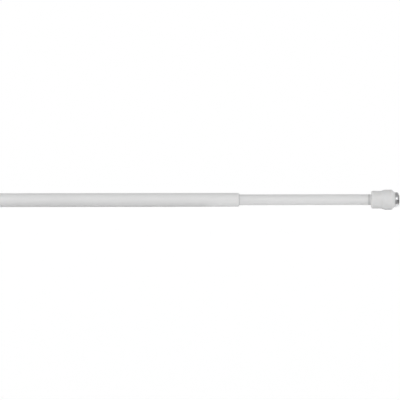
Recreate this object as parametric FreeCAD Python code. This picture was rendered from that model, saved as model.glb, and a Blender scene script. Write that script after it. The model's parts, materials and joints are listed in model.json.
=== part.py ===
"""Telescopic spring tension rod with a twist lock, for a curtain.

Sizes are in millimetres. X runs along the rod and Z is up. The origin is the middle of the pad face on the
thick tube's end, and the telescoping end is toward +X. Everything is turned about the X axis unless it says
otherwise.
"""
import FreeCAD, Part
import os
import math

Vector = FreeCAD.Vector
ORIGIN = Vector(0, 0, 0)
ROD_AXIS = Vector(1, 0, 0)
UP = Vector(0, 0, 1)

# Tubes
outer_tube_diameter = 16.0
outer_tube_wall = 0.6
tube_gap = 1.15
inner_tube_wall = 0.55
inner_tube_length = 372.0
outer_tube_shown = 389.7
inner_tube_shown = 151.7
bead_width = 2.4
bead_depth = 0.4

# End collars, feet and pads
collar_length = 27.6
collar_mouth_wall = 2.35
collar_waist_wall = 2.1
collar_belly_wall = 3.55
collar_waist_from_mouth = 11.6
collar_belly_from_mouth = 14.5
collar_nose_length = 3.8
collar_nose_step = 0.4
collar_mouth_rounding = 2.1
collar_socket_depth = 18.0
collar_nose_wall = 4.0
spigot_length = 10.0
spigot_wall = 1.4
foot_height = 4.1
foot_overhang = 0.65
foot_rim = 2.9
foot_edge_rounding = 2.2
foot_stem_radius = 2.5
foot_groove_depth = 0.6
foot_tail = 1.0
pad_thickness = 2.0
pad_proud = 0.5
pad_groove = 0.45
clip_thickness = 0.5
clip_rim = 1.3
clip_slot = 0.6
clip_slots = 6

# Lock and spring
spring_travel = 25.0
spring_length = 62.0
spring_wire = 1.0
spring_active_turns = 13
spring_end_turns = 1
plug_length = 12.0
plug_flange = 1.0
plug_wall = 2.2
plug_web = 3.0
bush_wall = 1.7
stem_head_length = 3.0
spring_pilot_length = 6.0
lock_eccentricity = 1.0
journal_step = 0.4
guide_ring_length = 8.0
guide_waist_depth = 0.6
cam_length = 12.0
cam_teeth = 24
cam_tooth_radius = 0.35
washer_thickness = 0.8
washer_rim = 1.2
screw_head_height = 1.8
screw_length = 7.0
screw_slot = 0.6

# Clearances
glue_gap = 0.05
running_fit = 0.05
sliding_fit = 0.15
cam_release = 0.4
spring_fit = 0.5
end_play = 0.1
pilot_fit = 0.2

# Radii worked out from the tubes and clearances
outer_radius = outer_tube_diameter / 2
outer_bore = outer_radius - outer_tube_wall
inner_radius = outer_bore - tube_gap
inner_bore = inner_radius - inner_tube_wall
mouth_bore = inner_radius + end_play
foot_radius = outer_radius + foot_overhang
pad_radius = foot_radius - foot_rim
stem_flat = inner_bore - bush_wall
guide_journal = stem_flat - journal_step
cam_journal = guide_journal - lock_eccentricity - end_play
screw_radius = cam_journal / 2
coil_radius = inner_bore - spring_fit - spring_wire / 2
pilot_radius = coil_radius - spring_wire / 2 - pilot_fit

# Places along the rod, from the pad face of the thick tube's end
foot_face = pad_proud
foot_back = foot_face + foot_height
nose_face = foot_back + end_play
collar_mouth = nose_face + collar_length
socket_floor = collar_mouth - collar_socket_depth
outer_mouth = collar_mouth + outer_tube_shown
rod_length = outer_mouth + inner_tube_shown + collar_mouth
inner_tube_end = rod_length - socket_floor
inner_tube_start = inner_tube_end - inner_tube_length
plug_back = inner_tube_start + plug_length
stem_head_start = plug_back + end_play
spring_start = stem_head_start + stem_head_length
spring_end = spring_start + spring_length
hex_start = inner_tube_start - plug_flange - spring_travel - end_play
guide_start = hex_start - guide_ring_length - end_play
cam_start = guide_start - cam_length - end_play
washer_start = cam_start - washer_thickness


def outline(corners):
    """Face in the XZ plane with corners (x, radius) or (x, radius, rounding), in order."""
    points = [Vector(corner[0], 0, corner[1]) for corner in corners]
    starts = []
    ends = []
    arcs = []
    for index, corner in enumerate(corners):
        here = points[index]
        if len(corner) < 3:
            starts.append(here)
            ends.append(here)
            continue
        back = (points[index - 1] - here).normalize()
        ahead = (points[(index + 1) % len(points)] - here).normalize()
        half_angle = back.getAngle(ahead) / 2
        start = here + back * (corner[2] / math.tan(half_angle))
        end = here + ahead * (corner[2] / math.tan(half_angle))
        inward = (back + ahead).normalize()
        middle = here + inward * (corner[2] / math.sin(half_angle) - corner[2])
        arcs.append(Part.Arc(start, middle, end).toShape())
        starts.append(start)
        ends.append(end)
    lines = []
    for index, end in enumerate(ends):
        following = starts[(index + 1) % len(starts)]
        if end.distanceToPoint(following) > 1e-6:
            lines.append(Part.makeLine(end, following))
    return Part.Face(Part.Wire(Part.__sortEdges__(arcs + lines)))


def turned(corners):
    """Solid of revolution about the rod's axis."""
    return outline(corners).revolve(ORIGIN, ROD_AXIS, 360)


def rod(start, length, radius, height=0.0):
    """Cylinder along X, its axis at a height above the rod's axis."""
    return Part.makeCylinder(radius, length, Vector(start, 0, height), ROD_AXIS)


def hexagon(start, length, flat):
    """Hexagonal bar along X, with flats at a distance from the axis."""
    corner = flat / math.cos(math.pi / 6)
    points = []
    for side in range(7):
        angle = side * math.pi / 3
        points.append(Vector(start, corner * math.cos(angle), corner * math.sin(angle)))
    return Part.Face(Part.makePolygon(points)).extrude(ROD_AXIS * length)


def at_far_end(shape):
    """The same shape turned end for end, on the thin tube's end of the rod."""
    placed = shape.copy()
    placed.rotate(ORIGIN, UP, 180)
    placed.translate(Vector(rod_length, 0, 0))
    return placed


def outer_tube():
    """Thick tube, open at the collar and rolled in at the mouth."""
    roll = outer_radius - mouth_bore
    return turned([
        (socket_floor, outer_bore),
        (socket_floor, outer_radius),
        (outer_mouth, outer_radius, roll),
        (outer_mouth, mouth_bore),
        (outer_mouth - outer_tube_wall, mouth_bore),
        (outer_mouth - outer_tube_wall, outer_bore, roll - outer_tube_wall),
    ])


def bead(centre, radius):
    """Corners of a groove that is rolled into a tube wall, from left to right."""
    half = bead_width / 2
    return [
        (centre - half, radius, 0.4),
        (centre - half / 2, radius - bead_depth, 0.3),
        (centre + half / 2, radius - bead_depth, 0.3),
        (centre + half, radius, 0.4),
    ]


def inner_tube():
    """Thin tube, with two rolled beads that hold the bush and the spring stop."""
    bead_centres = [inner_tube_start + plug_length / 2, spring_end + plug_length / 2]
    outside = []
    inside = []
    for centre in bead_centres:
        outside += bead(centre, inner_radius)
        inside += bead(centre, inner_bore)
    ends = [(inner_tube_end, inner_radius), (inner_tube_end, inner_bore)]
    starts = [(inner_tube_start, inner_bore), (inner_tube_start, inner_radius)]
    return turned(outside + ends + inside[::-1] + starts)


def collar(tube_radius, tube_bore):
    """Two step end collar, with a socket and a hollow spigot for its tube."""
    socket = tube_radius + glue_gap
    spigot = tube_bore - end_play
    spigot_end = socket_floor + spigot_length
    nose_back = nose_face + collar_nose_wall
    waist = collar_mouth - collar_waist_from_mouth
    belly = collar_mouth - collar_belly_from_mouth
    shoulder_run = waist - belly
    shoulder_rise = collar_belly_wall - collar_waist_wall
    shoulder_length = math.hypot(shoulder_run, shoulder_rise)
    shoulder_angle = math.atan2(shoulder_rise, shoulder_run)
    shoulder_rounding = 0.8 * shoulder_length / math.tan(shoulder_angle / 2)
    stem_hole = foot_stem_radius + running_fit
    return turned([
        (nose_face, stem_hole),
        (nose_face, foot_radius - collar_nose_step, 0.3),
        (nose_face + collar_nose_length, outer_radius + collar_belly_wall, 1.2),
        (belly, outer_radius + collar_belly_wall, shoulder_rounding),
        (waist, outer_radius + collar_waist_wall, 0.8),
        (collar_mouth, outer_radius + collar_mouth_wall, collar_mouth_rounding),
        (collar_mouth, socket),
        (socket_floor, socket),
        (socket_floor, spigot),
        (spigot_end, spigot, 0.5),
        (spigot_end, spigot - spigot_wall),
        (nose_back, spigot - spigot_wall),
        (nose_back, stem_hole),
    ])


def foot():
    """Turned metal foot: domed edge, recess for the pad and a grooved stem."""
    recess = pad_radius + glue_gap
    recess_floor = pad_thickness
    groove = nose_face + collar_nose_wall
    groove_end = groove + clip_thickness + end_play
    stem_end = groove_end + foot_tail
    groove_radius = foot_stem_radius - foot_groove_depth
    return turned([
        (recess_floor, 0),
        (recess_floor, recess),
        (foot_face, recess, 0.3),
        (foot_face, foot_radius, foot_edge_rounding),
        (foot_back, foot_radius, 0.3),
        (foot_back, foot_stem_radius),
        (groove, foot_stem_radius),
        (groove, groove_radius),
        (groove_end, groove_radius),
        (groove_end, foot_stem_radius),
        (stem_end, foot_stem_radius, 0.4),
        (stem_end, 0),
    ])


def pad():
    """Rubber friction pad with two grip grooves in its face."""
    corners = [(0, 0)]
    for ring in (1, 2):
        middle = pad_radius * ring / 3
        corners += [
            (0, middle - pad_groove / 2),
            (pad_groove, middle - pad_groove / 2),
            (pad_groove, middle + pad_groove / 2),
            (0, middle + pad_groove / 2),
        ]
    corners += [(0, pad_radius, 0.3), (pad_thickness, pad_radius), (pad_thickness, 0)]
    return turned(corners)


def foot_clip():
    """Push-on ring with teeth, which holds the foot's stem behind the collar's nose."""
    start = nose_face + collar_nose_wall + end_play / 2
    bore = foot_stem_radius - foot_groove_depth + glue_gap
    rim = foot_stem_radius + clip_rim
    ring = rod(start, clip_thickness, rim).cut(rod(start, clip_thickness, bore))
    slot = Part.makeBox(clip_thickness, clip_slot, (bore + rim) / 2, Vector(start, -clip_slot / 2, 0))
    slots = []
    for tooth in range(clip_slots):
        turned_slot = slot.copy()
        turned_slot.rotate(ORIGIN, ROD_AXIS, tooth * 360 / clip_slots)
        slots.append(turned_slot)
    return ring.cut(slots)


def plug_groove(start):
    """Corners of the groove in a plug that a rolled bead sits in, from left to right."""
    radius = inner_bore - glue_gap
    centre = start + plug_length / 2
    half = bead_width / 2 + glue_gap
    floor = radius - bead_depth - end_play
    return [(centre - half, radius), (centre - half, floor), (centre + half, floor), (centre + half, radius)]


def end_bush():
    """Nylon bush in the thin tube's buried end, with the stem's hexagonal hole."""
    radius = inner_bore - glue_gap
    flange_start = inner_tube_start - plug_flange
    body = turned([
        (flange_start, 0),
        (flange_start, inner_radius, 0.4),
        (inner_tube_start, inner_radius),
        (inner_tube_start, radius),
        *plug_groove(inner_tube_start),
        (plug_back, radius, 0.4),
        (plug_back, 0),
    ])
    return body.cut(hexagon(flange_start, plug_length + plug_flange, stem_flat + running_fit * 2))


def spring_stop():
    """Nylon plug that the spring pushes on, with a pilot inside the coil and a cored back."""
    radius = inner_bore - glue_gap
    core = inner_bore - plug_wall
    back = spring_end + plug_length
    return turned([
        (spring_end - spring_pilot_length, 0),
        (spring_end - spring_pilot_length, pilot_radius, 0.8),
        (spring_end, pilot_radius),
        (spring_end, radius),
        *plug_groove(spring_end),
        (back, radius, 0.4),
        (back, core),
        (spring_end + plug_web, core, 0.5),
        (spring_end + plug_web, 0),
    ])


def lock_stem():
    """Stem that slides in the bush: spring head, hexagon, round journal and eccentric journal."""
    head_radius = inner_bore - end_play * 2
    head = turned([
        (stem_head_start, 0),
        (stem_head_start, head_radius, 0.3),
        (spring_start, head_radius, 0.3),
        (spring_start, pilot_radius),
        (spring_start + spring_pilot_length, pilot_radius, 0.8),
        (spring_start + spring_pilot_length, 0),
    ])
    bar = hexagon(hex_start, stem_head_start - hex_start, stem_flat)
    journal = rod(guide_start, hex_start - guide_start, guide_journal)
    eccentric = rod(cam_start, guide_start - cam_start, cam_journal, lock_eccentricity)
    screw_hole = rod(cam_start, screw_length, screw_radius + glue_gap, lock_eccentricity)
    return head.fuse([bar, journal, eccentric]).cut(screw_hole).removeSplitter()


def guide_ring():
    """Nylon ring with two lands, which keeps the stem central in the thick tube."""
    start = guide_start + end_play / 2
    end = start + guide_ring_length
    bore = guide_journal + running_fit
    land = outer_bore - sliding_fit
    land_width = guide_ring_length / 4
    return turned([
        (start, bore),
        (start, land, 0.4),
        (start + land_width, land),
        (start + land_width, land - guide_waist_depth),
        (end - land_width, land - guide_waist_depth),
        (end - land_width, land),
        (end, land, 0.4),
        (end, bore),
    ])


def lock_cam():
    """Toothed cam, round about the rod's axis when free, on the eccentric journal."""
    start = cam_start + end_play / 2
    radius = outer_bore - cam_release
    body = turned([
        (start, 0),
        (start, radius, 0.4),
        (start + cam_length, radius, 0.4),
        (start + cam_length, 0),
    ])
    cuts = [rod(start, cam_length, cam_journal + running_fit, lock_eccentricity)]
    for tooth in range(cam_teeth):
        angle = 2 * math.pi * tooth / cam_teeth
        foot_point = Vector(start, radius * math.cos(angle), radius * math.sin(angle))
        cuts.append(Part.makeCylinder(cam_tooth_radius, cam_length, foot_point, ROD_AXIS))
    return body.cut(cuts)


def cam_washer():
    """Plain washer against the end of the eccentric journal."""
    disc = rod(washer_start, washer_thickness, cam_journal + washer_rim, lock_eccentricity)
    return disc.cut(rod(washer_start, washer_thickness, screw_radius + running_fit, lock_eccentricity))


def cam_screw():
    """Pan head screw with a cross recess, into the end of the stem."""
    head_start = washer_start - screw_head_height
    head_radius = screw_radius * 2
    head = turned([
        (head_start, 0),
        (head_start, head_radius, 0.6),
        (washer_start, head_radius),
        (washer_start, 0),
    ])
    head.translate(UP * lock_eccentricity)
    shank = rod(washer_start, screw_length, screw_radius, lock_eccentricity)
    recess_depth = screw_head_height * 0.6
    arm = Part.makeBox(recess_depth, screw_slot, head_radius * 1.2)
    arm.translate(Vector(head_start, -screw_slot / 2, lock_eccentricity - head_radius * 0.6))
    other_arm = arm.copy()
    other_arm.rotate(Vector(0, 0, lock_eccentricity), ROD_AXIS, 90)
    return head.fuse(shank).cut([arm, other_arm]).removeSplitter()


def spring():
    """Compression spring with closed ends, its coil worked out turn by turn."""
    closed_pitch = spring_wire * 1.05
    active_length = spring_length - spring_wire - 2 * spring_end_turns * closed_pitch
    active_pitch = active_length / spring_active_turns
    steps_per_turn = 8
    turns = spring_active_turns + 2 * spring_end_turns
    points = []
    for step in range(turns * steps_per_turn + 1):
        turn = step / steps_per_turn
        first_end = min(turn, spring_end_turns)
        last_end = max(turn - spring_end_turns - spring_active_turns, 0)
        active = turn - first_end - last_end
        along = closed_pitch * (first_end + last_end) + active_pitch * active
        angle = 2 * math.pi * turn
        x = spring_start + spring_wire / 2 + along
        points.append(Vector(x, coil_radius * math.cos(angle), coil_radius * math.sin(angle)))
    curve = Part.BSplineCurve()
    curve.interpolate(points)
    path = curve.toShape()
    heading = path.tangentAt(path.FirstParameter)
    section = Part.Wire(Part.Circle(points[0], heading, spring_wire / 2).toShape())
    return Part.Wire(path).makePipeShell([section], True, True)


pieces = {
    "outer_tube": outer_tube(),
    "outer_collar": collar(outer_radius, outer_bore),
    "outer_foot": foot(),
    "outer_pad": pad(),
    "outer_foot_clip": foot_clip(),
    "inner_tube": inner_tube(),
    "inner_collar": at_far_end(collar(inner_radius, inner_bore)),
    "inner_foot": at_far_end(foot()),
    "inner_pad": at_far_end(pad()),
    "inner_foot_clip": at_far_end(foot_clip()),
    "end_bush": end_bush(),
    "spring_stop": spring_stop(),
    "spring": spring(),
    "lock_stem": lock_stem(),
    "guide_ring": guide_ring(),
    "lock_cam": lock_cam(),
    "cam_washer": cam_washer(),
    "cam_screw": cam_screw(),
}

os.makedirs("parts", exist_ok=True)
for name, shape in pieces.items():
    shape.exportStep(f"parts/{name}.step")
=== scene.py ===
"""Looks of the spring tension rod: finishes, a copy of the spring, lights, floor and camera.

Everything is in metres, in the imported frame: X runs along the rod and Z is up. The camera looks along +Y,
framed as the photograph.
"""
import json
import math
import bpy
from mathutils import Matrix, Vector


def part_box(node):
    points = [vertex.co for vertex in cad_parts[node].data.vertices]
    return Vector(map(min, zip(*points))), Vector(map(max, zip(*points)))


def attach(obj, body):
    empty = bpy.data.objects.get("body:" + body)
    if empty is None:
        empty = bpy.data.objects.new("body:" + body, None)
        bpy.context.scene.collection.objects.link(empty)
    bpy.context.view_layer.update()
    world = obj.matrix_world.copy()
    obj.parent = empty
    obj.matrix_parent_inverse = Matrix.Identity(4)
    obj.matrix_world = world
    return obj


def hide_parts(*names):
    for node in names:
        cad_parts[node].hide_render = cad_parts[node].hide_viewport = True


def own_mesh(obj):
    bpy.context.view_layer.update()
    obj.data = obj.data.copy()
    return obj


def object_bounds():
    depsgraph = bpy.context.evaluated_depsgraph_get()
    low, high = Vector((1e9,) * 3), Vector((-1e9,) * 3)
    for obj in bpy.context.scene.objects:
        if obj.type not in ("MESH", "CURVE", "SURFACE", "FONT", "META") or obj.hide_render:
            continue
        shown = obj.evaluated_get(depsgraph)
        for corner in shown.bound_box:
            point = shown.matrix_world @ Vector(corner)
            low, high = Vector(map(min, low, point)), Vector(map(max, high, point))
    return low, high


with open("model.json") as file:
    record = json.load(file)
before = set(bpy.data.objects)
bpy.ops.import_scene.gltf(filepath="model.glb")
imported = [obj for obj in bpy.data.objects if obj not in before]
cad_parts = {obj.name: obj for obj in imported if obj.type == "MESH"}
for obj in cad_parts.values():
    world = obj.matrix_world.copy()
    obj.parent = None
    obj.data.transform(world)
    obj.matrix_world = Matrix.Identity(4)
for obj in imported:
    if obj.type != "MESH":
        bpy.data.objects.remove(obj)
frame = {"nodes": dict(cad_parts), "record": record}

cad_box = [list(corner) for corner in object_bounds()]
MM = 0.001

# Places on the rod, from the frame
far_end = cad_box[0][0]
rod_tip = cad_box[1][0]
floor_level = cad_box[0][2]
tube_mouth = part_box("outer_tube")[1][0]
collar_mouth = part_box("inner_collar")[0][0]

# Camera, from the photograph's scale and framing
IMAGE_WIDTH = 400
FRAME_WIDTH = 460.4 * MM
PIXEL = FRAME_WIDTH / IMAGE_WIDTH
TIP_PIXEL = 399.15
CAMERA_DISTANCE = 5.0
CAMERA_REACH = 100.0
CAMERA_HEIGHT = -0.09 * MM
CAMERA_ROLL = math.radians(0.08)
SENSOR = 36.0
image_middle = rod_tip - (TIP_PIXEL - IMAGE_WIDTH / 2) * PIXEL

# Sky and floor
SKY_AT_HORIZON = 2.0
SKY_OVERHEAD = 0.06
SKY_MIRRORED_OVERHEAD = 0.36
FLOOR_SIZE = 40.0
FLOOR_TONE = 0.93
FLOOR_GLOW = 0.33

# Soft light in front of the rod
SOFTBOX_ELEVATION = math.radians(22)
SOFTBOX_DISTANCE = 3.0
SOFTBOX_LENGTH = 4.2
SOFTBOX_HEIGHT = 1.2
SOFTBOX_POWER = 10.0

# Weak strip of light under the rod
UNDERLIGHT_BEFORE_MOUTH = 37 * MM
UNDERLIGHT_PAST_TIP = 54 * MM
UNDERLIGHT_WIDTH = 80 * MM
UNDERLIGHT_LEVEL = 0.12
UNDERLIGHT_RISE = 0.1 * MM

# Flags, the cards that the bright metal mirrors: upright past both ends, flat in front and past the tip
END_FLAG_TONE = 0.3
END_FLAG_SIZE = 1.6
END_FLAG_GAP = 1.0
FRONT_FLAG_TONE = 0.52
FRONT_FLAG_LENGTH = 1.6
FRONT_FLAG_DEPTH = 0.4
FRONT_FLAG_GAP = 8.5 * MM
FRONT_FLAG_RISE = 0.5 * MM
TIP_FLAG_TONE = 0.2
TIP_FLAG_SIZE = 0.6
TIP_FLAG_GAP = 12 * MM
TIP_FLAG_RISE = 0.7 * MM


def new_material(name):
    """A material with its node tree and its Principled shader."""
    material = bpy.data.materials.new(name)
    material.use_nodes = True
    tree = material.node_tree
    return material, tree, tree.nodes["Principled BSDF"]


def feed(tree, socket, value):
    """Sets a socket to a number, or links it to another node's value."""
    if isinstance(value, (int, float)):
        socket.default_value = value
    else:
        tree.links.new(value, socket)


def object_coordinates(tree):
    """The frame's own coordinates in metres, which stay on the piece."""
    return tree.nodes.new("ShaderNodeTexCoord").outputs["Object"]


def axis_values(tree, vector):
    """The X, Y and Z values of a vector."""
    axes = tree.nodes.new("ShaderNodeSeparateXYZ")
    tree.links.new(vector, axes.inputs["Vector"])
    return axes.outputs


def noise(tree, vector, scale, detail=3.0, along_axes=(1, 1, 1)):
    """Noise value at a scale in cycles per metre, which along_axes multiplies axis by axis."""
    mapping = tree.nodes.new("ShaderNodeMapping")
    mapping.inputs["Scale"].default_value = along_axes
    tree.links.new(vector, mapping.inputs["Vector"])
    texture = tree.nodes.new("ShaderNodeTexNoise")
    texture.inputs["Scale"].default_value = scale
    texture.inputs["Detail"].default_value = detail
    tree.links.new(mapping.outputs["Vector"], texture.inputs["Vector"])
    return texture.outputs["Fac"]


def mapped(tree, value, low, high, start=0.0, end=1.0):
    """Runs from low to high as the value goes from start to end, and stays between them."""
    node = tree.nodes.new("ShaderNodeMapRange")
    node.inputs["From Min"].default_value = start
    node.inputs["From Max"].default_value = end
    node.inputs["To Min"].default_value = low
    node.inputs["To Max"].default_value = high
    tree.links.new(value, node.inputs["Value"])
    return node.outputs["Result"]


def maths(tree, operation, first, second=None):
    """One arithmetic step on values or numbers."""
    node = tree.nodes.new("ShaderNodeMath")
    node.operation = operation
    feed(tree, node.inputs[0], first)
    if second is not None:
        feed(tree, node.inputs[1], second)
    return node.outputs["Value"]


def chosen(tree, switch, off, on):
    """The first value where the switch is 0, and the second where it is 1."""
    node = tree.nodes.new("ShaderNodeMix")
    tree.links.new(switch, node.inputs["Factor"])
    feed(tree, node.inputs["A"], off)
    feed(tree, node.inputs["B"], on)
    return node.outputs["Result"]


def bumped(tree, shader, height, depth, below=None):
    """Bump of a real depth in metres, on top of another bump if there is one."""
    node = tree.nodes.new("ShaderNodeBump")
    node.inputs["Distance"].default_value = depth
    tree.links.new(height, node.inputs["Height"])
    if below is not None:
        tree.links.new(below, node.inputs["Normal"])
    tree.links.new(node.outputs["Normal"], shader.inputs["Normal"])
    return node.outputs["Normal"]


def tinted(tree, shader, value, dark, light):
    """Base colour that runs from dark to light with a value."""
    mix = tree.nodes.new("ShaderNodeMix")
    mix.data_type = "RGBA"
    mix.inputs["A"].default_value = (*dark, 1)
    mix.inputs["B"].default_value = (*light, 1)
    tree.links.new(value, mix.inputs["Factor"])
    tree.links.new(mix.outputs["Result"], shader.inputs["Base Color"])
    return mix.outputs["Result"]


def darkened(tree, shader, colour, value, tone):
    """Base colour that falls to tone times itself where the value is 1."""
    mix = tree.nodes.new("ShaderNodeMix")
    mix.data_type = "RGBA"
    mix.blend_type = "MULTIPLY"
    mix.inputs["B"].default_value = (tone, tone, tone, 1)
    tree.links.new(value, mix.inputs["Factor"])
    tree.links.new(colour, mix.inputs["A"])
    tree.links.new(mix.outputs["Result"], shader.inputs["Base Color"])


def roughened(tree, shader, value, smooth, rough):
    """Roughness that runs from smooth to rough with a value."""
    tree.links.new(mapped(tree, value, smooth, rough), shader.inputs["Roughness"])


def enamel(name, dark, light, shade_start, shade_end, shade_blur, shade_tone):
    """White powder enamel: fine orange peel, faint handling marks along the tube and one ring of painted
    shade.

    The painted shade lies between two places along X, and its colour is a given tone times the enamel's.
    """
    material, tree, shader = new_material(name)
    where = object_coordinates(tree)
    patches = noise(tree, where, scale=22, detail=2.0, along_axes=(0.5, 1, 1))
    colour = tinted(tree, shader, patches, dark, light)
    along = axis_values(tree, where)["X"]
    half_blur = shade_blur / 2
    past_start = mapped(tree, along, 0.0, 1.0, shade_start - half_blur, shade_start + half_blur)
    before_end = mapped(tree, along, 1.0, 0.0, shade_end - half_blur, shade_end + half_blur)
    # Painted shade: the enamel darkens to the given tone between the two places along X
    darkened(tree, shader, colour, maths(tree, "MULTIPLY", past_start, before_end), shade_tone)
    marks = noise(tree, where, scale=900, detail=4.0, along_axes=(0.03, 1, 1))
    roughened(tree, shader, marks, smooth=0.33, rough=0.47)
    peel = noise(tree, where, scale=1500, detail=2.0)
    bumped(tree, shader, peel, depth=0.035 * MM)
    shader.inputs["Specular IOR Level"].default_value = 0.28
    shader.inputs["Coat Weight"].default_value = 0.05
    shader.inputs["Coat Roughness"].default_value = 0.2
    return material


def outer_enamel():
    """Enamel of the thick tube, with a thin ring of painted shade over the edge of its rolled mouth."""
    return enamel(
        "white_enamel_with_painted_shade_at_mouth",
        dark=(0.69, 0.69, 0.69),
        light=(0.735, 0.735, 0.735),
        # Painted shade over the last 0.4 mm of the tube at its mouth
        shade_start=tube_mouth - 0.4 * MM,
        shade_end=tube_mouth + 1.0 * MM,
        shade_blur=0.2 * MM,
        shade_tone=0.55,
    )


def inner_enamel():
    """Enamel of the thin tube, with a faint ring of painted shade beside the collar's mouth."""
    return enamel(
        "white_enamel",
        dark=(0.675, 0.675, 0.675),
        light=(0.72, 0.72, 0.72),
        # Painted shade: the collar's shadow on the tube, just before its mouth
        shade_start=collar_mouth - 3.8 * MM,
        shade_end=collar_mouth - 1.3 * MM,
        shade_blur=0.5 * MM,
        shade_tone=0.76,
    )


def collar_plastic():
    """White moulded plastic, satin, with a fine spark texture and a parting line above and below."""
    line_core = 0.05 * MM
    line_edge = 0.14 * MM
    material, tree, shader = new_material("white_moulded_plastic")
    where = object_coordinates(tree)
    clouds = noise(tree, where, scale=60, detail=2.0)
    colour = tinted(tree, shader, clouds, dark=(0.668, 0.668, 0.668), light=(0.71, 0.71, 0.708))
    sparks = noise(tree, where, scale=3500)
    roughened(tree, shader, sparks, smooth=0.36, rough=0.5)
    sparked = bumped(tree, shader, sparks, depth=0.025 * MM)
    off_centre = maths(tree, "ABSOLUTE", axis_values(tree, where)["Y"])
    line = mapped(tree, off_centre, 1.0, 0.0, line_core, line_edge)
    bumped(tree, shader, line, depth=0.05 * MM, below=sparked)
    darkened(tree, shader, colour, line, tone=0.88)
    shader.inputs["Subsurface Weight"].default_value = 0.3
    shader.inputs["Subsurface Radius"].default_value = (1.2 * MM, 1.1 * MM, 1.0 * MM)
    shader.inputs["Subsurface Scale"].default_value = 1.0
    return material


def bright_metal():
    """Plated turned steel: fine turning rings about the rod's axis, on its round sides and on its faces."""
    ring_pitch = 0.35 * MM
    material, tree, shader = new_material("bright_plated_steel")
    where = object_coordinates(tree)
    axes = axis_values(tree, where)
    across_squared = maths(tree, "MULTIPLY", axes["Y"], axes["Y"])
    up_squared = maths(tree, "MULTIPLY", axes["Z"], axes["Z"])
    from_axis = maths(tree, "SQRT", maths(tree, "ADD", across_squared, up_squared))
    tool_path = maths(tree, "ADD", from_axis, axes["X"])
    rings = maths(tree, "SINE", maths(tree, "MULTIPLY", tool_path, 2 * math.pi / ring_pitch))
    bumped(tree, shader, rings, depth=0.0012 * MM)
    clouds = noise(tree, where, scale=260)
    tinted(tree, shader, clouds, dark=(0.70, 0.70, 0.71), light=(0.77, 0.77, 0.78))
    roughened(tree, shader, clouds, smooth=0.10, rough=0.18)
    shader.inputs["Metallic"].default_value = 1.0
    return material


def plain_metal(name, dark, light, smooth, rough):
    """Zinc plate or drawn wire: cloudy tone and uneven gloss."""
    material, tree, shader = new_material(name)
    where = object_coordinates(tree)
    clouds = noise(tree, where, scale=500, detail=4.0)
    tinted(tree, shader, clouds, dark, light)
    roughened(tree, shader, clouds, smooth, rough)
    grain = noise(tree, where, scale=2500, detail=2.0)
    bumped(tree, shader, grain, depth=0.004 * MM)
    shader.inputs["Metallic"].default_value = 1.0
    return material


def soft_polymer(name, dark, light, roughness, grain_scale, depth):
    """Rubber or nylon: matt, with a fine moulded grain."""
    spread = 0.06
    material, tree, shader = new_material(name)
    where = object_coordinates(tree)
    clouds = noise(tree, where, scale=180)
    tinted(tree, shader, clouds, dark, light)
    grain = noise(tree, where, scale=grain_scale)
    roughened(tree, shader, grain, smooth=roughness - spread, rough=roughness + spread)
    bumped(tree, shader, grain, depth)
    return material


def pad_rubber():
    """Dark grey rubber of the friction pads."""
    return soft_polymer(
        "grey_rubber",
        dark=(0.10, 0.10, 0.10),
        light=(0.13, 0.13, 0.13),
        roughness=0.7,
        grain_scale=3000,
        depth=0.02 * MM,
    )


def nylon():
    """Natural nylon of the bush, plug, ring and cam."""
    return soft_polymer(
        "natural_nylon",
        dark=(0.58, 0.58, 0.55),
        light=(0.65, 0.65, 0.62),
        roughness=0.45,
        grain_scale=2000,
        depth=0.008 * MM,
    )


def zinc():
    """Zinc plate of the stem, screw, washer and clips."""
    return plain_metal(
        "zinc_plate",
        dark=(0.50, 0.51, 0.53),
        light=(0.60, 0.61, 0.63),
        smooth=0.25,
        rough=0.4,
    )


def spring_steel():
    """Drawn wire of the spring."""
    return plain_metal(
        "drawn_spring_wire",
        dark=(0.34, 0.34, 0.35),
        light=(0.44, 0.44, 0.45),
        smooth=0.28,
        rough=0.42,
    )


def dress_nodes():
    """Gives every solid of the frame its own finish, or else the finish of its slot in the record."""
    finishes = {
        "outer_tube": outer_enamel(),
        "inner_tube": inner_enamel(),
        "collar_plastic": collar_plastic(),
        "bright_metal": bright_metal(),
        "pad_rubber": pad_rubber(),
        "nylon": nylon(),
        "zinc": zinc(),
        "spring_steel": spring_steel(),
    }
    for subpart in frame["record"]["subparts"]:
        solid = frame["nodes"][subpart["node"]]
        finish = finishes.get(subpart["node"]) or finishes[subpart["material_slot"]]
        solid.data.materials.clear()
        solid.data.materials.append(finish)


def placed(name, data):
    """A new object in the scene."""
    thing = bpy.data.objects.new(name, data)
    bpy.context.scene.collection.objects.link(thing)
    return thing


def spring_that_gives():
    """Copy of the dressed spring, carried by the stem's body, in place of the spring in the frame."""
    spring = placed("compression_spring", frame["nodes"]["spring"].data.copy())
    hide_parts("spring")
    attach(spring, "stem")
    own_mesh(spring)


def floor_material():
    """White floor that keeps shadows, with a weak glow that the camera and reflections see as well."""
    material, tree, shader = new_material("studio_floor")
    shader.inputs["Base Color"].default_value = (FLOOR_TONE, FLOOR_TONE, FLOOR_TONE, 1)
    shader.inputs["Roughness"].default_value = 0.9
    shader.inputs["Specular IOR Level"].default_value = 0.1
    shader.inputs["Emission Color"].default_value = (1, 1, 1, 1)
    path = tree.nodes.new("ShaderNodeLightPath")
    seen = maths(tree, "MAXIMUM", path.outputs["Is Camera Ray"], path.outputs["Is Glossy Ray"])
    seen = maths(tree, "MAXIMUM", seen, path.outputs["Is Transmission Ray"])
    tree.links.new(maths(tree, "MULTIPLY", seen, FLOOR_GLOW), shader.inputs["Emission Strength"])
    return material


def floor():
    """Large plain floor that the rod lies on."""
    bpy.ops.mesh.primitive_plane_add(size=FLOOR_SIZE, location=(0, 0, floor_level))
    plane = bpy.context.object
    plane.name = "studio_floor"
    plane.data.materials.append(floor_material())


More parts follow.
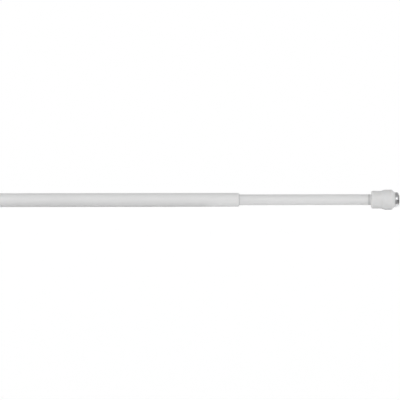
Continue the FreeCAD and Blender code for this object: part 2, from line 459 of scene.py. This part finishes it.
def sky():
    """Soft light all round, which fades towards the top. The camera sees plain white."""
    world = bpy.data.worlds.new("studio")
    bpy.context.scene.world = world
    world.use_nodes = True
    tree = world.node_tree
    background = tree.nodes["Background"]
    background.inputs["Color"].default_value = (1, 1, 1, 1)
    direction = tree.nodes.new("ShaderNodeTexCoord").outputs["Generated"]
    height = axis_values(tree, direction)["Z"]
    lighting = mapped(tree, height, SKY_AT_HORIZON, SKY_OVERHEAD)
    mirrored = mapped(tree, height, 1.0, SKY_MIRRORED_OVERHEAD)
    path = tree.nodes.new("ShaderNodeLightPath")
    seen = maths(tree, "MAXIMUM", path.outputs["Is Camera Ray"], path.outputs["Is Transmission Ray"])
    unseen_strength = chosen(tree, path.outputs["Is Glossy Ray"], lighting, mirrored)
    tree.links.new(chosen(tree, seen, unseen_strength, 1.0), background.inputs["Strength"])


def area_light(name, length, width, power, location, rotation):
    """Rectangular soft light."""
    light = bpy.data.lights.new(name, "AREA")
    light.shape = "RECTANGLE"
    light.size = length
    light.size_y = width
    light.energy = power
    lamp = placed(name, light)
    lamp.location = location
    lamp.rotation_euler = rotation
    return lamp


def softbox():
    """Long soft light above and in front of the rod, turned towards the middle of the picture."""
    ahead = SOFTBOX_DISTANCE * math.cos(SOFTBOX_ELEVATION)
    above = SOFTBOX_DISTANCE * math.sin(SOFTBOX_ELEVATION)
    location = (image_middle, -ahead, above)
    tilt = math.pi / 2 - SOFTBOX_ELEVATION
    area_light("softbox", SOFTBOX_LENGTH, SOFTBOX_HEIGHT, SOFTBOX_POWER, location, (tilt, 0, 0))


def underlight():
    """Weak strip on the floor, which lifts the underside of the rod from near the thick tube's mouth on."""
    start = tube_mouth - UNDERLIGHT_BEFORE_MOUTH
    end = rod_tip + UNDERLIGHT_PAST_TIP
    length = end - start
    power = UNDERLIGHT_LEVEL * math.pi * length * UNDERLIGHT_WIDTH
    location = ((start + end) / 2, 0, floor_level + UNDERLIGHT_RISE)
    strip = area_light("underlight", length, UNDERLIGHT_WIDTH, power, location, (math.pi, 0, 0))
    strip.visible_glossy = False


def flag(name, tone, size, location, turn_about_y=0):
    """Dull card that only reflections see, flat unless it is turned."""
    bpy.ops.mesh.primitive_plane_add(size=1, location=location, rotation=(0, turn_about_y, 0))
    plane = bpy.context.object
    plane.name = name
    plane.scale = (*size, 1)
    material, _, shader = new_material(name)
    shader.inputs["Base Color"].default_value = (tone, tone, tone, 1)
    shader.inputs["Specular IOR Level"].default_value = 0.0
    plane.data.materials.append(material)
    plane.visible_camera = False
    plane.visible_diffuse = False
    plane.visible_shadow = False
    plane.visible_transmission = False


def end_flag(name, place):
    """Flag that stands upright past an end of the rod."""
    size = (END_FLAG_SIZE, END_FLAG_SIZE)
    flag(name, END_FLAG_TONE, size, (place, 0, END_FLAG_SIZE / 2), math.pi / 2)


def front_flag(name):
    """Flag that lies in front of the rod."""
    middle = -FRONT_FLAG_GAP - FRONT_FLAG_DEPTH / 2
    size = (FRONT_FLAG_LENGTH, FRONT_FLAG_DEPTH)
    flag(name, FRONT_FLAG_TONE, size, (rod_tip / 2, middle, floor_level + FRONT_FLAG_RISE))


def tip_flag(name):
    """Flag that lies past the tip."""
    middle = rod_tip + TIP_FLAG_GAP + TIP_FLAG_SIZE / 2
    size = (TIP_FLAG_SIZE, TIP_FLAG_SIZE)
    flag(name, TIP_FLAG_TONE, size, (middle, 0, floor_level + TIP_FLAG_RISE))


def photo_camera():
    """Long lens square on to the rod, framed as the photograph."""
    lens = bpy.data.cameras.new("photo_camera")
    lens.sensor_width = SENSOR
    lens.lens = SENSOR * CAMERA_DISTANCE / FRAME_WIDTH
    lens.clip_end = CAMERA_REACH
    camera = placed("photo_camera", lens)
    camera.location = (image_middle, -CAMERA_DISTANCE, CAMERA_HEIGHT)
    camera.rotation_euler = (math.pi / 2, CAMERA_ROLL, 0)
    bpy.context.scene.camera = camera


dress_nodes()
spring_that_gives()
floor()
sky()
softbox()
underlight()
end_flag("flag_past_the_tip", rod_tip + END_FLAG_GAP)
end_flag("flag_past_the_far_end", far_end - END_FLAG_GAP)
front_flag("flag_in_front")
tip_flag("flag_beside_the_tip")
photo_camera()
bpy.context.scene.view_settings.view_transform = "Standard"
